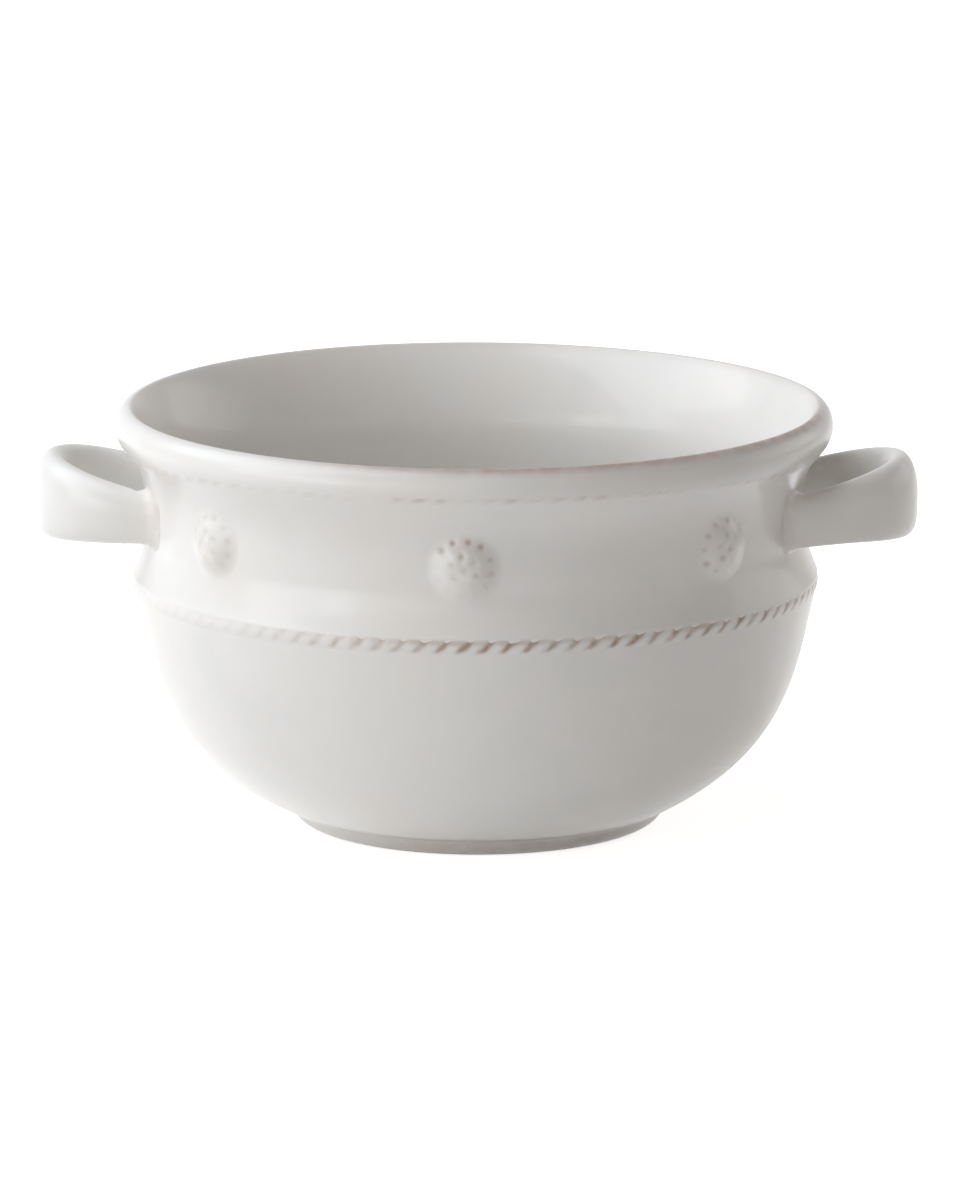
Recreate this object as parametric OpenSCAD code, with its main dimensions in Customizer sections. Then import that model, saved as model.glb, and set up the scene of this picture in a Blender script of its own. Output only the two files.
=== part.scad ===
// Lug soup bowl: a footed stoneware bowl with two strap handles, two applied cord
// mouldings and six pressed berries. The origin is the middle of the foot on the table,
// +Z is up, the handles lie along X and the front faces -Y.

/* [Bowl] */
// Outer diameter of the lip at its widest
lip_d = 152; // [140:1:180]
// Height of the lip crest above the table
bowl_h = 89.8; // [75:0.2:115]
// How far the lip stands out past the straight neck
lip_overhang = 6.2; // [3:0.1:9]
// How far the belly stands out past the neck where it meets the shoulder
belly_out = 2.3; // [0.5:0.1:5]
// Thickness of the wall
wall = 5; // [4:0.5:7]
// Thickness of the floor
floor_t = 5.1; // [4:0.1:9]

/* [Lip] */
// Width of the rolled lip from its widest point in to its crest
lip_roll_w = 3.1; // [2:0.1:4]
// Height of the rolled lip from its widest point up to its crest
lip_roll_h = 4.3; // [3:0.1:6]
// Height of the flare that carries the neck out to the lip
flare_h = 15.5; // [12:0.5:17]

/* [Shoulder] */
// Distance from the lip crest down to the top of the shoulder cord
ledge_drop = 36.3; // [34:0.1:45]
// How far the ledge above the cord stands out past the belly
ledge_out = 0.2; // [0.1:0.1:1.5]
// Height of the rounded edge of the ledge
ledge_edge_h = 0.4; // [0.3:0.1:1.5]
// Height of the hollow curve from the ledge up to the neck
ledge_blend_h = 9.7; // [6:0.1:10]

/* [Foot] */
// Height of the foot ring
foot_h = 4; // [3:0.1:7]
// Outer diameter of the foot ring at its top
foot_d = 82; // [72:0.2:90]
// Outer diameter of the foot ring where it touches the table
foot_rest_d = 70.4; // [68:0.2:72]
// Width of the foot ring at its top
foot_w = 10.4; // [9:0.1:14]
// Width of the flat that touches the table
foot_rest_w = 4.2; // [2:0.1:6]
// Step between the foot ring and the belly
foot_step = 0.3; // [0:0.1:0.6]

/* [Handles] */
// How far a handle stands out past the neck
lug_out = 24.2; // [20:0.2:32]
// Width of a handle across its two limbs
lug_w = 45.2; // [38:0.2:50]
// Thickness of the strap
strap_t = 7.8; // [5:0.2:9]
// How far the strap's lower edge lies above the ledge where it leaves the neck
lug_root_rise = 9.4; // [6:0.1:12]
// Height of the strap where it leaves the neck
lug_root_h = 11.2; // [7:0.1:13]
// How far the strap's lower edge lies above the ledge at its outer end
lug_end_rise = 8.5; // [3:0.1:12]
// Height of the strap at its outer end
lug_end_h = 17.7; // [10:0.1:22]
// Straight run of the limbs past the neck before the strap turns
lug_run = 1.2; // [0:0.1:4]
// Width of the slip fillet round the roots
lug_fillet = 1; // [0:0.1:1.6]

/* [Cord mouldings] */
// Width of the shoulder cord
shoulder_rope_w = 2.6; // [2:0.1:4]
// Depth of the groove that the shoulder cord lies in
shoulder_rope_seat = 0.8; // [0.2:0.1:1.4]
// How far the strands of the shoulder cord stand out of the groove's floor
shoulder_rope_rise = 1.1; // [0.6:0.1:2]
// Width of the lip cord
lip_rope_w = 2.4; // [1.6:0.1:3.5]
// How far the middle of the lip cord lies below the widest part of the lip
lip_rope_drop = 3.2; // [2:0.1:5]
// How far the lip cord droops towards the handles
lip_rope_droop = 1.8; // [0:0.1:3]
// How far the strands of the lip cord stand off the wall
lip_rope_rise = 0.5; // [0.3:0.1:1.2]
// Strands round each cord
lays = 100; // [60:1:110]

/* [Berries] */
// Diameter of a berry
berry_d = 14.4; // [10:0.2:16]
// Height of a berry off the neck
berry_rise = 2.5; // [1.5:0.1:3.5]
// How far the middle of a berry lies above the ledge
berry_rise_z = 15.3; // [12:0.1:18]
// Angle between the middle berry and the ones beside it
berry_turn = 49; // [35:1:55]
// Distance from one ring of pits to the next
pit_pitch = 2.7; // [2:0.1:2.8]
// Diameter of a pit
pit_d = 1.2; // [0.8:0.1:1.6]

/* [Hidden] */
$fn = 128;
glaze = "#e9e6e0";
bare_clay = "#d9cdbd";

// Radii and heights that follow from the sizes above
lip_r = lip_d / 2;
neck_r = lip_r - lip_overhang;
belly_r = neck_r + belly_out;
foot_r = foot_d / 2;
foot_rest_r = foot_rest_d / 2;
berry_r = berry_d / 2;
lip_z = bowl_h - lip_roll_h;
flare_z = lip_z - flare_h;
floor_z = foot_h + floor_t;
ledge_z = bowl_h - ledge_drop;
rope_groove_z = ledge_z - shoulder_rope_w;
rope_groove_r = belly_r - shoulder_rope_seat;
ledge_r = belly_r + ledge_out;
berry_z = ledge_z + berry_rise_z;
lug_root_z = ledge_z + lug_root_rise;
lug_end_z = ledge_z + lug_end_rise;

// Handles of the curve on each stretch of the outline, as shares of the stretch's own
// width and height
belly_shares = [[0.66, 0.24], [0.89, 0.47]];
edge_shares = [[0.1, 0.6], [0.45, 1]];
blend_shares = [[0.3, 0.15], [1, 0.75]];
flare_shares = [[0, 0.68], [1, 0.68]];
roll_shares = [[0, 0.55], [0.45, 1]];
mouth_shares = [[0.14, 0], [1, 0.55]];
throat_shares = [[0, 0.4], [1, 0.6]];
hollow_shares = [[0, 0.94], [0.49, 1]];
foot_shares = [[0.45, 0.25], [0.65, 0.4]];

// Steps that each stretch is drawn with
long_steps = 18;
short_steps = 6;

function mix(a, b, t) = a + (b - a) * t;
function inside(a, b, share) = [mix(a.x, b.x, share.x), mix(a.y, b.y, share.y)];
function bezier(a, b, c, d, t) =
    mix(mix(mix(a, b, t), mix(b, c, t), t), mix(mix(b, c, t), mix(c, d, t), t), t);
function stretch(a, b, shares, steps) =
    [for (i = [0 : steps]) bezier(a, inside(a, b, shares[0]), inside(a, b, shares[1]), b, i / steps)];
function rest(points) = [for (i = [1 : len(points) - 1]) points[i]];

// The outline of the wall as [radius, height], from the foot up to the lip crest
belly_line = stretch([foot_r - foot_step, foot_h], [belly_r, rope_groove_z], belly_shares, long_steps);
ledge_line = stretch([belly_r, ledge_z], [ledge_r, ledge_z + ledge_edge_h], edge_shares, short_steps);
blend_line = stretch([ledge_r, ledge_z + ledge_edge_h], [neck_r, ledge_z + ledge_blend_h],
                     blend_shares, long_steps);
flare_line = stretch([neck_r, flare_z], [lip_r, lip_z], flare_shares, long_steps);
roll_line = stretch([lip_r, lip_z], [lip_r - lip_roll_w, bowl_h], roll_shares, short_steps);
outer_line = concat(belly_line,
                    [[rope_groove_r, rope_groove_z], [rope_groove_r, ledge_z]],
                    ledge_line, rest(blend_line), flare_line, rest(roll_line));

// The hollow's outline, from the lip crest down to the middle of the floor
mouth_line = stretch([lip_r - lip_roll_w, bowl_h], [neck_r - wall, flare_z], mouth_shares, long_steps);
throat_line = stretch([neck_r - wall, flare_z], [belly_r - wall, ledge_z], throat_shares, short_steps);
hollow_line = stretch([belly_r - wall, ledge_z], [0, floor_z], hollow_shares, long_steps);
inner_line = concat(rest(mouth_line), rest(throat_line), rest(hollow_line));

// Radius of the wall at a height between the ledge and the lip
wall_table = [for (p = concat(blend_line, flare_line)) [p.y, p.x]];
function wall_r(z) = lookup(z, wall_table);

// Faces of a tube of rings, each with as many points as the last, closed on itself or open
function tube_faces(rings, points, closed) = [
    for (i = [0 : rings - (closed ? 1 : 2)], j = [0 : points - 1])
        let (k = (i + 1) % rings, n = (j + 1) % points)
            each [[i * points + j, i * points + n, k * points + n],
                  [i * points + j, k * points + n, k * points + j]]];

// Strands of a cord, as shares: where each point of the section lies across the cord, how
// far it stands out, and how much of a strand it leans ahead of the middle
strand_steps = 4;
cord_across_shares = [0, 0.15, 0.5, 0.85, 1, 0.5];
cord_out_shares = [0, 0.8, 1, 0.8, 0, 0];
cord_lean_shares = [0, -0.25, 0, 0.25, 0, 0];
cord_valley_share = 0.4;

function strand(turn) = mix(cord_valley_share, 1, abs(sin(180 * turn)));

// The wall of the whole bowl as a solid, without its hollow
module wall_blank() {
    rotate_extrude() polygon(concat([[0, foot_h]], outer_line, [[0, bowl_h]]));
}

module bowl_body() {
    color(glaze) rotate_extrude() polygon(concat([[0, foot_h]], outer_line, inner_line));
}

module foot_ring() {
    outside = stretch([foot_rest_r, 0], [foot_r, foot_h], foot_shares, short_steps);
    color(bare_clay) rotate_extrude()
        polygon(concat([[foot_r - foot_w, foot_h], [foot_rest_r - foot_rest_w, 0]], outside));
}

// The shoulder cord fills the groove under the ledge
module shoulder_cord() {
    steps = lays * strand_steps;
    points = [for (i = [0 : steps - 1], j = [0 : len(cord_across_shares) - 1])
        let (angle = 360 * i / steps,
             z = rope_groove_z + shoulder_rope_w * cord_across_shares[j],
             turn = i / strand_steps - cord_lean_shares[j],
             r = rope_groove_r + shoulder_rope_rise * cord_out_shares[j] * strand(turn))
        [r * cos(angle), r * sin(angle), z]];
    polyhedron(points, tube_faces(steps, len(cord_across_shares), true));
}

// The lip cord lies on the flare, and dips a little over each handle
module lip_cord() {
    steps = lays * strand_steps;
    points = [for (i = [0 : steps - 1], j = [0 : len(cord_across_shares) - 1])
        let (angle = 360 * i / steps,
             mid_z = lip_z - lip_rope_drop - lip_rope_droop * pow(cos(angle), 4),
             z = mid_z + lip_rope_w * (cord_across_shares[j] - 0.5),
             turn = i / strand_steps - cord_lean_shares[j],
             r = wall_r(z) + lip_rope_rise * cord_out_shares[j] * strand(turn))
        [r * cos(angle), r * sin(angle), z]];
    polyhedron(points, tube_faces(steps, len(cord_across_shares), true));
}

module lip_rope() {
    color(glaze) lip_cord();
}

module shoulder_rope() {
    color(glaze) shoulder_cord();
}

// The strap's path in plan is half an ellipse on two short straight limbs
lug_x = neck_r + lug_run;
lug_reach = lug_out - lug_run - strap_t / 2;
lug_half = (lug_w - strap_t) / 2;
strap_points = 20;
strap_turns = 24;
strap_squareness = 2.6;
root_shares = [0, 0.08, 0.22, 0.45, 0.7];

// A point of the strap's section, for a share of the way from the root to the outer end
function strap_out(a) = sign(cos(a)) * pow(abs(cos(a)), 2 / strap_squareness);
function strap_up(a) = sign(sin(a)) * pow(abs(sin(a)), 2 / strap_squareness);
function strap_z(a, way, swell) =
    let (low = mix(lug_root_z, lug_end_z, way),
         h = mix(lug_root_h, lug_end_h, way))
    mix(low - swell, low + h + swell, (1 + strap_up(a)) / 2);

// How far along the handle a place at x lies
function lug_way(x) = (x - neck_r) / (lug_reach + lug_run);

// A ring in the turn of the strap, at angle u of the ellipse
function turn_ring(u) =
    let (x = lug_x + lug_reach * cos(u),
         y = lug_half * sin(u),
         out = [cos(u) / lug_reach, sin(u) / lug_half],
         unit = out / norm(out))
    [for (j = [0 : strap_points - 1])
        let (a = 360 * j / strap_points, n = strap_t / 2 * strap_out(a))
        [x + n * unit.x, y + n * unit.y, strap_z(a, lug_way(x), 0)]];

// A ring in a limb, a share of the way from the wall to the turn; side is -1 or 1
function limb_ring(side, share) =
    let (swell = lug_fillet * pow(1 - share, 3))
    [for (j = [0 : strap_points - 1])
        let (a = 360 * j / strap_points,
             y = side * (lug_half + (strap_t / 2 + swell) * strap_out(a)),
             z = strap_z(a, share * lug_way(lug_x), swell),
             wall_x = sqrt(pow(wall_r(z), 2) - y * y))
        [mix(wall_x, lug_x, share), y, z]];

function middle(ring) = [for (k = [0 : 2]) let (v = [for (p = ring) p[k]]) (min(v) + max(v)) / 2];

module lug() {
    limb = len(root_shares);
    rings = concat([for (i = [0 : limb - 1]) limb_ring(-1, root_shares[i])],
                   [for (i = [0 : strap_turns]) turn_ring(180 * i / strap_turns - 90)],
                   [for (i = [limb - 1 : -1 : 0]) limb_ring(1, root_shares[i])]);
    count = len(rings);
    first = count * strap_points;
    points = concat([for (ring = rings, p = ring) p], [middle(rings[0]), middle(rings[count - 1])]);
    caps = [for (j = [0 : strap_points - 1])
        let (n = (j + 1) % strap_points, last = (count - 1) * strap_points)
        each [[first, n, j], [first + 1, last + j, last + n]]];
    polyhedron(points, concat(tube_faces(count, strap_points, false), caps));
}

module right_lug() {
    color(glaze) lug();
}

module left_lug() {
    color(glaze) mirror([1, 0, 0]) lug();
}

// The mound is the cap of a ball whose middle lies inside the wall
mound_r = (berry_r * berry_r + berry_rise * berry_rise) / (2 * berry_rise);
mound_x = wall_r(berry_z) + berry_rise - mound_r;
pit_rings = 2;
pits_in_ring = 6;

// Pits of a berry in rings round the one in the middle, as [across, up] from its middle
pits = concat([[0, 0]], [for (ring = [1 : pit_rings], i = [1 : ring * pits_in_ring])
    let (angle = 360 * (i + 0.5) / (ring * pits_in_ring))
    [ring * pit_pitch * cos(angle), ring * pit_pitch * sin(angle)]]);

module berry(angle) {
    color(glaze) difference() {
        rotate([0, 0, angle]) translate([mound_x, 0, berry_z]) difference() {
            sphere(r = mound_r);
            for (p = pits)
                translate([sqrt(mound_r * mound_r - p.x * p.x - p.y * p.y), p.x, p.y])
                    sphere(d = pit_d, $fn = 24);
        }
        wall_blank();
    }
}

module berry_front_left() { berry(-90 - berry_turn); }
module berry_front() { berry(-90); }
module berry_front_right() { berry(-90 + berry_turn); }
module berry_back_left() { berry(90 + berry_turn); }
module berry_back() { berry(90); }
module berry_back_right() { berry(90 - berry_turn); }

bowl_body();
foot_ring();
left_lug();
right_lug();
lip_rope();
shoulder_rope();
berry_front_left();
berry_front();
berry_front_right();
berry_back_left();
berry_back();
berry_back_right();
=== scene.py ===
# %% [markdown]
# # A footed soup bowl with two strap handles
# The real bowl is stoneware under a thick ivory glaze. It was thrown, turned and put together
# from clay pieces: the bowl, its foot ring, two strap handles, two cord mouldings and six
# pressed berries. This lesson dresses each of those pieces in Blender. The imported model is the
# frame: every measure that it already holds is read from it, so a piece lands where its solid is.

# %% Load the frame
import math

import bmesh
import bpy
from mathutils import Matrix, Vector, noise
from mathutils.geometry import interpolate_bezier


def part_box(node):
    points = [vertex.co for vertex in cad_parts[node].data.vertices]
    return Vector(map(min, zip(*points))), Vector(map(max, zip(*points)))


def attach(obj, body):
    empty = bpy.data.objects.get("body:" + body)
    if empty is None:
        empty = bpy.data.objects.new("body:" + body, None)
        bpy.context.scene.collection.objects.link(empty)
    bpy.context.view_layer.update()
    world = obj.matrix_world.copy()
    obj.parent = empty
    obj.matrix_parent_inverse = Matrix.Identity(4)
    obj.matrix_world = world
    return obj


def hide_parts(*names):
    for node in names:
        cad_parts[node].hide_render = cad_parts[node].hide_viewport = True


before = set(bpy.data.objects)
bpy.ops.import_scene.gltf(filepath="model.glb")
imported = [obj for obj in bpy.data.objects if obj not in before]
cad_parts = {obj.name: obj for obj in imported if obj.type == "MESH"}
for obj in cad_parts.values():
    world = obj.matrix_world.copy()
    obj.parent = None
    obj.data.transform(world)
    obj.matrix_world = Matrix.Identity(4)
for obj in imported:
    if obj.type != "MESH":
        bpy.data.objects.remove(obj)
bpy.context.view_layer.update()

MM = 0.001

# %% [markdown]
# ## Measures
# The frame gives the outer sizes: how wide the lip is, how high the crest stands, where the
# groove for the shoulder cord runs and how far the handles reach. A box cannot tell what lies
# inside it, such as the radius of the neck, so those few sizes are listed, and the
# heights and radii of the outline follow from both.

# %% Read the outer sizes
body_low, body_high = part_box("bowl_body")
foot_low, foot_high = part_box("foot_ring")
cord_low, cord_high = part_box("shoulder_rope")
lug_low, lug_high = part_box("right_lug")

LIP_R, CREST_Z = body_high[0], body_high[2]
FOOT_R, FOOT_Z = foot_high[0], foot_high[2]
GROOVE_Z, LEDGE_Z = cord_low[2], cord_high[2]
print("lip radius", round(LIP_R / MM, 1), "mm, crest height", round(CREST_Z / MM, 1), "mm")

# %% Name the sizes inside the boxes
LIP_OVERHANG = 6.2 * MM
BELLY_OUT = 2.3 * MM
LEDGE_OUT = 0.2 * MM
LEDGE_EDGE_H = 0.4 * MM
LEDGE_BLEND_H = 9.7 * MM
FLARE_H = 15.5 * MM
ROLL_W, ROLL_H = 3.1 * MM, 4.3 * MM
WALL = 5.0 * MM
FLOOR_T = 5.1 * MM

NECK_R = LIP_R - LIP_OVERHANG
BELLY_R = NECK_R + BELLY_OUT
LEDGE_R = BELLY_R + LEDGE_OUT
CREST_R = LIP_R - ROLL_W
LIP_Z = CREST_Z - ROLL_H
FLARE_Z = LIP_Z - FLARE_H
LEDGE_TOP_Z = LEDGE_Z + LEDGE_EDGE_H
NECK_Z = LEDGE_Z + LEDGE_BLEND_H
FLOOR_Z = FOOT_Z + FLOOR_T
print("neck radius", round(NECK_R / MM, 1), "mm, belly radius", round(BELLY_R / MM, 1), "mm")

# %% [markdown]
# ## Camera
# The photograph was taken from far off and a little above the rim, so the ellipse of the lip is
# narrow and nothing is foreshortened much. A long lens two metres away gives the same view. The
# camera aims a hair right of the axis and above the middle, because the bowl does not sit in the
# exact middle of the picture.

# %% Place the camera
PICTURE_W, PICTURE_H = 960, 1200
VIEW_TURN = math.radians(1.6)
VIEW_RISE = math.radians(11.78)
VIEW_DISTANCE = 2.0
PIXELS_PER_METRE = 4710.0
AXIS_PIXEL = (474.0, 609.8)
AXIS_POINT = Vector((0, 0, 0.045))
SENSOR = 36.0

back = Vector((math.sin(VIEW_TURN) * math.cos(VIEW_RISE),
               -math.cos(VIEW_TURN) * math.cos(VIEW_RISE),
               math.sin(VIEW_RISE)))
right = Vector((math.cos(VIEW_TURN), math.sin(VIEW_TURN), 0))
up = right.cross(-back)
aim = AXIS_POINT + right * ((PICTURE_W / 2 - AXIS_PIXEL[0]) / PIXELS_PER_METRE)
aim += up * ((AXIS_PIXEL[1] - PICTURE_H / 2) / PIXELS_PER_METRE)

camera_data = bpy.data.cameras.new("camera")
camera_data.sensor_width = SENSOR
camera_data.lens = SENSOR * PIXELS_PER_METRE * VIEW_DISTANCE / PICTURE_H
camera = bpy.data.objects.new("camera", camera_data)
camera.location = aim + back * VIEW_DISTANCE
camera.rotation_euler = Matrix((right, up, back)).transposed().to_euler()
bpy.context.scene.collection.objects.link(camera)
bpy.context.scene.camera = camera
print("lens", round(camera_data.lens, 1), "mm")

# %% [markdown]
# ## Curves
# A potter's outline has few points and long smooth runs between them. Arcs could draw it, but
# they leave a kink where two of them meet badly. Each run here is a cubic curve whose two handles
# are given as shares of the run's own width and height, so it keeps its character when a measure
# changes.

# %% Draw a smooth run
def run(start, end, shares, steps):
    """Points of a smooth run from start to end, both as (radius, height)."""
    a, d = Vector((*start, 0)), Vector((*end, 0))
    b, c = [Vector((a.x + (d.x - a.x) * s, a.y + (d.y - a.y) * t, 0)) for s, t in shares]
    return [(p.x, p.y) for p in interpolate_bezier(a, b, c, d, steps + 1)]


quarter = run((1, 0), (0, 1), [(0, 0.55), (0.45, 1)], 2)
print("a quarter turn in two steps:", [(round(r, 2), round(z, 2)) for r, z in quarter])

# %% [markdown]
# ## The bowl's outline
# From the foot the belly swells up to the groove of the shoulder cord. Above the cord a narrow
# ledge blends into the neck, which stands straight for a short way and then flares out to a
# rolled lip. Inside, the wall follows the same forms a wall's thickness away, and ends in a round
# hollow without a corner. Each run starts where the last one ends, apart from the short straight
# behind the cord, so the outline can be read like a pencil line.

# %% Draw the outline
NECK_STEPS = 8

belly = run((FOOT_R, FOOT_Z), (BELLY_R, GROOVE_Z), [(0.67, 0.215), (0.89, 0.47)], 36)
blend = run((LEDGE_R, LEDGE_TOP_Z), (NECK_R, NECK_Z), [(0.3, 0.15), (1, 0.75)], 16)
neck = [(NECK_R, NECK_Z + (FLARE_Z - NECK_Z) * i / NECK_STEPS) for i in range(1, NECK_STEPS)]
flare = run((NECK_R, FLARE_Z), (LIP_R, LIP_Z), [(0, 0.68), (1, 0.68)], 24)
roll = run((LIP_R, LIP_Z), (CREST_R, CREST_Z), [(0, 0.55), (0.45, 1)], 12)
mouth = run((CREST_R, CREST_Z), (NECK_R - WALL, FLARE_Z), [(0.14, 0), (1, 0.55)], 28)
throat = run((NECK_R - WALL, FLARE_Z), (BELLY_R - WALL, LEDGE_Z), [(0, 0.4), (1, 0.6)], 8)
hollow = run((BELLY_R - WALL, LEDGE_Z), (0, FLOOR_Z), [(0, 0.94), (0.49, 1)], 40)
outer = belly + blend + neck + flare + roll[1:]
inner = mouth[1:] + throat[1:] + hollow[1:]
print("outline points:", len(outer), "outside and", len(inner), "inside")

# %% [markdown]
# ## Where the wall is
# The cords, the berries and the handles are pressed on to the wall, so each has to know how far
# out the wall stands at a height. A ray cast at the mesh would tell, but the outline is already
# at hand, it is exact, and reading between two of its points is quick.

# %% Read the wall's radius
def wall_r(z):
    """Outer radius of the wall at a height above the foot."""
    for (r0, z0), (r1, z1) in zip(outer, outer[1:]):
        if z0 <= z < z1:
            return r0 + (r1 - r0) * (z - z0) / (z1 - z0)
    return LIP_R


print("radius of the wall at the ledge's top:", round(wall_r(LEDGE_TOP_Z) / MM, 1), "mm")

# %% [markdown]
# ## A maker's hand
# A thrown wall is never quite round. Each mesh could be dented by itself, but then the pieces
# would come apart. Instead one gentle warp of space, a few tenths of a millimetre deep, is laid
# over every piece, so cords, berries and handles stay seated on the wall that carries them.
# Round the lip it only moves clay inwards, so the bowl keeps inside its solids' box. Two larger
# faults are copied from the photo: the foot sits almost a millimetre to the right of the middle,
# and the shoulder is a little fuller on the right.

# %% Warp by hand
OUT_OF_ROUND_SHARE = 0.003
LIP_DIP = 0.45 * MM
WANDER_PER_METRE = 11.0
WANDER_UP_SHARE = 0.4
DIP_LAYER = 0.3
FOOT_ASIDE = 0.9 * MM
FOOT_ASIDE_H = 9 * MM
SHOULDER_FULL = 0.65 * MM
SHOULDER_FULL_H = 6.5 * MM
SHOULDER_Z = LEDGE_Z + 1 * MM


def smooth(low, high, value):
    """0 at low and 1 at high, whichever is larger, and an easy curve between."""
    t = min(max((value - low) / (high - low), 0.0), 1.0)
    return t * t * (3 - 2 * t)


def at_least(least, share):
    """A share moved towards 1, so that 0 becomes least and 1 stays."""
    return least + (1 - least) * share


def by_hand(co):
    """Where a point of the ideal bowl lies on the one made by hand."""
    side = noise.noise(Vector((co.x, co.y, co.z * WANDER_UP_SHARE)) * WANDER_PER_METRE)
    height = noise.noise(Vector((co.x, co.y, DIP_LAYER)) * WANDER_PER_METRE)
    lifted = smooth(FOOT_Z, LIP_Z, co.z)
    squeeze = 1 - OUT_OF_ROUND_SHARE * at_least(0.5, side) * lifted
    aside = FOOT_ASIDE * smooth(FOOT_Z + FOOT_ASIDE_H, 0, co.z)
    near_ledge = math.exp(-((co.z - SHOULDER_Z) / SHOULDER_FULL_H) ** 2)
    aside += SHOULDER_FULL * near_ledge * smooth(0.3 * NECK_R, 0.95 * NECK_R, co.x)
    dip = LIP_DIP * at_least(0.5, height) * smooth(NECK_Z, LIP_Z, co.z)
    return Vector((co.x * squeeze + aside, co.y * squeeze, co.z - dip))


lip_point = Vector((LIP_R, 0, LIP_Z))
print("the lip moves", round((by_hand(lip_point) - lip_point).length / MM, 2), "mm on the right")

# %% [markdown]
# ## Helpers for nodes
# A material is a net of nodes. It could be wired by hand in the editor, but a written one can be
# read and built again. These helpers make a node, give it values or links, and hand back the
# socket that the next node needs, so a line of code reads like a sum.

# %% Write nodes as sums
def new_group(name, takes, gives):
    """An empty node group with named sockets, and its input and output nodes."""
    group = bpy.data.node_groups.new(name, "ShaderNodeTree")
    for label, kind, value in takes:
        socket = group.interface.new_socket(label, in_out="INPUT", socket_type=kind)
        if value is not None:
            socket.default_value = value
    for label, kind in gives:
        group.interface.new_socket(label, in_out="OUTPUT", socket_type=kind)
    return group, group.nodes.new("NodeGroupInput"), group.nodes.new("NodeGroupOutput")


def put(tree, kind, settings=None, **inputs):
    """A node with its settings, and a value or a link for each input.

    An input goes by its label, with _ for a space, or by its place, as i0 for the first.
    """
    made = tree.nodes.new(kind)
    for key, value in (settings or {}).items():
        setattr(made, key, value)
    for label, value in inputs.items():
        by_place = label[0] == "i" and label[1:].isdigit()
        socket = made.inputs[int(label[1:]) if by_place else label.replace("_", " ")]
        if isinstance(value, bpy.types.NodeSocket):
            tree.links.new(value, socket)
        else:
            socket.default_value = value
    return made


def sums(tree, how, first, second, clamp=False):
    """The output of a Math node."""
    return put(tree, "ShaderNodeMath", {"operation": how, "use_clamp": clamp},
               i0=first, i1=second).outputs[0]


def blend_colour(tree, share, first, second):
    """The output of a colour Mix node."""
    made = put(tree, "ShaderNodeMix", {"data_type": "RGBA", "clamp_factor": True},
               i0=share, i6=first, i7=second)
    return made.outputs[2]


def stretch_to(tree, value, low, high, to_low=0.0, to_high=1.0):
    """A Map Range node's output, eased and clamped."""
    return put(tree, "ShaderNodeMapRange", {"interpolation_type": "SMOOTHSTEP"},
               i0=value, i1=low, i2=high, i3=to_low, i4=to_high).outputs[0]


# %% [markdown]
# ## How the glaze drifts in colour
# A dipped glaze lies a little thicker in some places and thinner in others, and its white turns
# cooler or warmer with it. Several materials need the same drift, so it is a node group: built
# once, with the three tones and the size of the patches as its inputs.

# %% Build the drift
COLOUR, NUMBER, PLACE = "NodeSocketColor", "NodeSocketFloat", "NodeSocketVector"
UNSET_TONE = (0.8, 0.78, 0.73, 1)
FINE_PER_METRE = 260.0
FINE_SHARE = 0.25

drift, take, give = new_group(
    "glaze_drift",
    [("Vector", PLACE, None), ("Glaze", COLOUR, UNSET_TONE), ("Thick", COLOUR, UNSET_TONE),
     ("Thin", COLOUR, UNSET_TONE), ("Patches per metre", NUMBER, 40.0)],
    [("Color", COLOUR)])
wide = put(drift, "ShaderNodeTexNoise", Vector=take.outputs["Vector"],
           Scale=take.outputs["Patches per metre"], Detail=3.0, Roughness=0.5)
fine = put(drift, "ShaderNodeTexNoise", Vector=take.outputs["Vector"], Scale=FINE_PER_METRE,
           Detail=2.0)
thick_share = stretch_to(drift, wide.outputs["Fac"], 0.5, 0.75)
thin_share = stretch_to(drift, wide.outputs["Fac"], 0.5, 0.28)
fine_share = stretch_to(drift, fine.outputs["Fac"], 0.35, 0.75, 0.0, FINE_SHARE)
toned = blend_colour(drift, thick_share, take.outputs["Glaze"], take.outputs["Thick"])
toned = blend_colour(drift, thin_share, toned, take.outputs["Thin"])
toned = blend_colour(drift, fine_share, toned, take.outputs["Thin"])
drift.links.new(toned, give.inputs["Color"])
print(drift.name, "has", len(drift.nodes), "nodes")

# %% [markdown]
# ## The skin of the glaze
# Molten glaze flows, so its skin keeps a long soft ripple and a fine orange peel, and patches of
# it are a touch hazier. Both could be modelled, at a cost of millions of faces. A height for a
# Bump node does the same for the light alone.

# %% Build the skin
RIPPLES_PER_METRE = 70.0
PEEL_PER_METRE = 700.0
HAZE_PER_METRE = 120.0

skin, take, give = new_group(
    "glaze_skin",
    [("Vector", PLACE, None), ("Ripple", NUMBER, 0.1), ("Peel", NUMBER, 0.01)],
    [("Height", NUMBER), ("Haze", NUMBER)])
ripple = put(skin, "ShaderNodeTexNoise", Vector=take.outputs["Vector"],
             Scale=RIPPLES_PER_METRE, Detail=1.0)
peel = put(skin, "ShaderNodeTexNoise", Vector=take.outputs["Vector"],
           Scale=PEEL_PER_METRE, Detail=2.0)
haze = put(skin, "ShaderNodeTexNoise", Vector=take.outputs["Vector"],
           Scale=HAZE_PER_METRE, Detail=3.0)
raised = sums(skin, "ADD",
              sums(skin, "MULTIPLY", ripple.outputs["Fac"], take.outputs["Ripple"]),
              sums(skin, "MULTIPLY", peel.outputs["Fac"], take.outputs["Peel"]))
skin.links.new(raised, give.inputs["Height"])
skin.links.new(stretch_to(skin, haze.outputs["Fac"], 0.3, 0.8), give.inputs["Haze"])
print(skin.name, "has", len(skin.nodes), "nodes")

# %% [markdown]
# ## Iron specks
# Grains of iron in the clay bleed through the white as a few dark specks. Cells of a Voronoi
# texture scatter them: each cell gets a random colour, one part of which decides whether its
# speck shows at all and another how large it is.

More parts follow.
